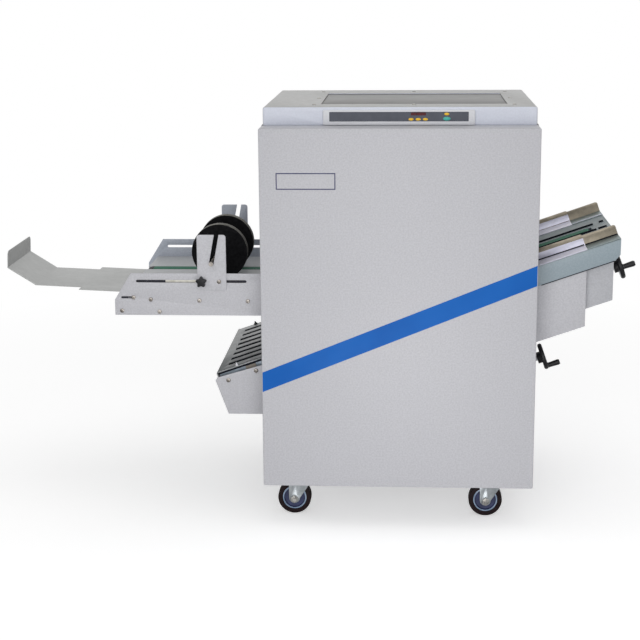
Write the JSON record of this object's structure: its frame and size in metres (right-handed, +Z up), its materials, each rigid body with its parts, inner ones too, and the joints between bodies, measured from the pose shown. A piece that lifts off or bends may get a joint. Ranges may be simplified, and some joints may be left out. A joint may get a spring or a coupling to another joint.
{
  "type": "folding and stapling machine",
  "caption": "Floor-standing booklet maker on castors with a sloping infeed table, a belt delivery under press discs, a slotted stop tray and a control panel on its lid.",
  "frame": {"origin": "on the floor, at the middle of the machine's overall length and depth", "axes": "+X towards the infeed table, +Y from the front cover to the rear cover, +Z up"},
  "size_m": [1.4382, 0.629, 0.9355],
  "materials": {
    "apron_paint": "blue-grey paint",
    "belt_green": "green conveyor belt",
    "black_foam": "black foam rubber",
    "black_plastic": "black moulded plastic",
    "bright_steel": "bright stainless sheet",
    "button_green": "teal green keycap",
    "button_yellow": "yellow keycap",
    "cabinet_paint": "light grey fine-textured powder coat",
    "lid_paint": "warm light grey paint",
    "motor_paint": "dark grey enamel",
    "roller_rubber": "grey rubber on steel",
    "smoked_pane": "grey translucent pane",
    "steel": "plain steel",
    "tyre_rubber": "dark rubber",
    "zinc_plate": "zinc-plated sheet"
  },
  "bodies": {
    "machine": {"bed_plate": "bright_steel", "delivery_belt_front": "belt_green", "delivery_belt_rear": "belt_green", "delivery_deck": "zinc_plate", "delivery_plate_front": "cabinet_paint", "delivery_plate_rear": "cabinet_paint", "frame": "steel", "front_cover": "cabinet_paint", "front_side_plate": "zinc_plate", "infeed_belt": "belt_green", "infeed_guard_inner": "cabinet_paint", "infeed_guard_outer": "cabinet_paint", "infeed_table": "apron_paint", "left_cover": "cabinet_paint", "lower_tray": "zinc_plate", "main_motor": "motor_paint", "rear_cover": "cabinet_paint", "rear_side_plate": "zinc_plate", "right_cover": "cabinet_paint", "top_lid": "lid_paint", "top_window": "smoked_pane", "tray_side_front": "cabinet_paint", "tray_side_rear": "cabinet_paint"},
    "castor_front_left": {"castor_fork_front_left": "zinc_plate"},
    "wheel_front_left": {"castor_wheel_front_left": "tyre_rubber"},
    "castor_front_right": {"castor_fork_front_right": "zinc_plate"},
    "wheel_front_right": {"castor_wheel_front_right": "tyre_rubber"},
    "castor_rear_left": {"castor_fork_rear_left": "zinc_plate"},
    "wheel_rear_left": {"castor_wheel_rear_left": "tyre_rubber"},
    "castor_rear_right": {"castor_fork_rear_right": "zinc_plate"},
    "wheel_rear_right": {"castor_wheel_rear_right": "tyre_rubber"},
    "tongue": {"stacker_tongue": "zinc_plate"},
    "press_carrier": {"press_bracket_front": "cabinet_paint", "press_bracket_rear": "cabinet_paint"},
    "press_shaft_body": {"press_shaft": "bright_steel"},
    "disc_front": {"press_disc_front": "black_foam"},
    "knob_front": {"bracket_knob_front": "black_plastic"},
    "disc_rear": {"press_disc_rear": "black_foam"},
    "knob_rear": {"bracket_knob_rear": "black_plastic"},
    "delivery_drive": {"delivery_drive_roller": "roller_rubber"},
    "delivery_tail": {"delivery_tail_roller": "roller_rubber"},
    "infeed_drive": {"infeed_drive_roller": "roller_rubber"},
    "infeed_tail": {"infeed_tail_roller": "roller_rubber"},
    "guide_front": {"side_guide_front": "bright_steel"},
    "guide_rear": {"side_guide_rear": "bright_steel"},
    "upper_screw": {"upper_handwheel": "black_plastic"},
    "staple_stop_body": {"staple_stop": "zinc_plate"},
    "lower_screw": {"lower_handwheel": "black_plastic"},
    "fold_stop_body": {"fold_stop": "zinc_plate"},
    "stapler": {"stapler_bar": "steel", "stapler_head_front": "motor_paint", "stapler_head_rear": "motor_paint"},
    "fold_a": {"fold_roller_a": "roller_rubber"},
    "fold_b": {"fold_roller_b": "roller_rubber"},
    "knife": {"fold_knife": "bright_steel"},
    "button_left_body": {"button_left": "button_yellow"},
    "button_middle_body": {"button_middle": "button_yellow"},
    "button_right_body": {"button_right": "button_yellow"},
    "button_start_body": {"button_start": "button_green"},
    "button_upper_body": {"button_upper": "button_yellow"}
  },
  "joints": [
    {"name": "castor_swivel_front_left", "type": "hinge", "parent": "machine", "child": "castor_front_left", "pos_m": [-0.02406, -0.2095, 0.0895], "axis": [0, 0, 1], "continuous": true},
    {"name": "castor_roll_front_left", "type": "hinge", "parent": "castor_front_left", "child": "wheel_front_left", "pos_m": [-0.04306, -0.2095, 0.0381], "axis": [0, 1, 0], "continuous": true},
    {"name": "castor_swivel_front_right", "type": "hinge", "parent": "machine", "child": "castor_front_right", "pos_m": [0.41394, -0.2095, 0.0895], "axis": [0, 0, 1], "continuous": true},
    {"name": "castor_roll_front_right", "type": "hinge", "parent": "castor_front_right", "child": "wheel_front_right", "pos_m": [0.39494, -0.2095, 0.0381], "axis": [0, 1, 0], "continuous": true},
    {"name": "castor_swivel_rear_left", "type": "hinge", "parent": "machine", "child": "castor_rear_left", "pos_m": [-0.02406, 0.2095, 0.0895], "axis": [0, 0, 1], "continuous": true},
    {"name": "castor_roll_rear_left", "type": "hinge", "parent": "castor_rear_left", "child": "wheel_rear_left", "pos_m": [-0.04306, 0.2095, 0.0381], "axis": [0, 1, 0], "continuous": true},
    {"name": "castor_swivel_rear_right", "type": "hinge", "parent": "machine", "child": "castor_rear_right", "pos_m": [0.41394, 0.2095, 0.0895], "axis": [0, 0, 1], "continuous": true},
    {"name": "castor_roll_rear_right", "type": "hinge", "parent": "castor_rear_right", "child": "wheel_rear_right", "pos_m": [0.39494, 0.2095, 0.0381], "axis": [0, 1, 0], "continuous": true},
    {"name": "tongue_slide", "type": "slide", "parent": "machine", "child": "tongue", "axis": [-0.9991, 0, 0.0419], "range_m": [0, 0.08]},
    {"name": "press_slide", "type": "slide", "parent": "machine", "child": "press_carrier", "axis": [1, 0, 0], "range_m": [-0.14, 0.038]},
    {"name": "press_lift", "type": "slide", "parent": "press_carrier", "child": "press_shaft_body", "axis": [0.1883, 0, 0.9821], "range_m": [0, 0.055]},
    {"name": "press_disc_spin_front", "type": "hinge", "parent": "press_shaft_body", "child": "disc_front", "pos_m": [-0.22356, -0.067, 0.5863], "axis": [0, 1, 0], "continuous": true},
    {"name": "knob_turn_front", "type": "hinge", "parent": "press_carrier", "child": "knob_front", "pos_m": [-0.24636, -0.2245, 0.546], "axis": [0, 1, 0], "range_deg": [0, 360]},
    {"name": "press_disc_spin_rear", "type": "hinge", "parent": "press_shaft_body", "child": "disc_rear", "pos_m": [-0.22356, 0.067, 0.5863], "axis": [0, 1, 0], "continuous": true},
    {"name": "knob_turn_rear", "type": "hinge", "parent": "press_carrier", "child": "knob_rear", "pos_m": [-0.24636, 0.2245, 0.546], "axis": [0, 1, 0], "range_deg": [0, 360]},
    {"name": "delivery_drive_spin", "type": "hinge", "parent": "machine", "child": "delivery_drive", "pos_m": [-0.04506, 0, 0.5085], "axis": [0, 1, 0], "continuous": true},
    {"name": "delivery_tail_spin", "type": "hinge", "parent": "machine", "child": "delivery_tail", "pos_m": [-0.40906, 0, 0.5085], "axis": [0, 1, 0], "continuous": true},
    {"name": "infeed_drive_spin", "type": "hinge", "parent": "machine", "child": "infeed_drive", "pos_m": [0.48672, 0, 0.56385], "axis": [0, 1, 0], "continuous": true},
    {"name": "infeed_tail_spin", "type": "hinge", "parent": "machine", "child": "infeed_tail", "pos_m": [0.6314, 0, 0.61423], "axis": [0, 1, 0], "continuous": true},
    {"name": "guide_slide_front", "type": "slide", "parent": "machine", "child": "guide_front", "axis": [0, 1, 0], "range_m": [0, 0.07]},
    {"name": "guide_slide_rear", "type": "slide", "parent": "machine", "child": "guide_rear", "axis": [0, 1, 0], "range_m": [-0.07, 0]},
    {"name": "upper_handwheel_turn", "type": "hinge", "parent": "machine", "child": "upper_screw", "pos_m": [0.68703, -0.1695, 0.57579], "axis": [0.9444, 0, 0.3289], "range_deg": [-1440, 1440]},
    {"name": "staple_stop_slide", "type": "slide", "parent": "machine", "child": "staple_stop_body", "axis": [0.9444, 0, 0.3289], "range_m": [-0.04, 0.04]},
    {"name": "lower_handwheel_turn", "type": "hinge", "parent": "machine", "child": "lower_screw", "pos_m": [0.52233, -0.1695, 0.36521], "axis": [0.9444, 0, 0.3289], "range_deg": [-1260, 1260]},
    {"name": "fold_stop_slide", "type": "slide", "parent": "machine", "child": "fold_stop_body", "axis": [0.9444, 0, 0.3289], "range_m": [-0.035, 0.035]},
    {"name": "stapler_stroke", "type": "slide", "parent": "machine", "child": "stapler", "axis": [0.3289, 0, -0.9444], "range_m": [0, 0.012]},
    {"name": "fold_roller_a_spin", "type": "hinge", "parent": "machine", "child": "fold_a", "pos_m": [0.04087, 0, 0.45401], "axis": [0, 1, 0], "continuous": true},
    {"name": "fold_roller_b_spin", "type": "hinge", "parent": "machine", "child": "fold_b", "pos_m": [0.08374, 0, 0.46894], "axis": [0, 1, 0], "continuous": true},
    {"name": "knife_stroke", "type": "slide", "parent": "machine", "child": "knife", "axis": [-0.3289, 0, 0.9444], "range_m": [0, 0.034]},
    {"name": "button_left_press", "type": "slide", "parent": "machine", "child": "button_left_body", "axis": [0, 1, 0], "range_m": [0, 0.001], "stiffness_N_per_m": 400, "springref_m": -0.0002},
    {"name": "button_middle_press", "type": "slide", "parent": "machine", "child": "button_middle_body", "axis": [0, 1, 0], "range_m": [0, 0.001], "stiffness_N_per_m": 400, "springref_m": -0.0002},
    {"name": "button_right_press", "type": "slide", "parent": "machine", "child": "button_right_body", "axis": [0, 1, 0], "range_m": [0, 0.001], "stiffness_N_per_m": 400, "springref_m": -0.0002},
    {"name": "button_start_press", "type": "slide", "parent": "machine", "child": "button_start_body", "axis": [0, 1, 0], "range_m": [0, 0.001], "stiffness_N_per_m": 400, "springref_m": -0.0002},
    {"name": "button_upper_press", "type": "slide", "parent": "machine", "child": "button_upper_body", "axis": [0, 1, 0], "range_m": [0, 0.001], "stiffness_N_per_m": 400, "springref_m": -0.0002}
  ],
  "couplings": [
    {"joint": "delivery_tail_spin", "follows": "delivery_drive_spin", "ratio": 1},
    {"joint": "infeed_tail_spin", "follows": "infeed_drive_spin", "ratio": 1},
    {"joint": "guide_slide_rear", "follows": "guide_slide_front", "ratio": -1},
    {"joint": "upper_handwheel_turn", "follows": "staple_stop_slide", "rad_per_m": 628.32},
    {"joint": "lower_handwheel_turn", "follows": "fold_stop_slide", "rad_per_m": 628.32},
    {"joint": "fold_roller_b_spin", "follows": "fold_roller_a_spin", "ratio": -1}
  ]
}
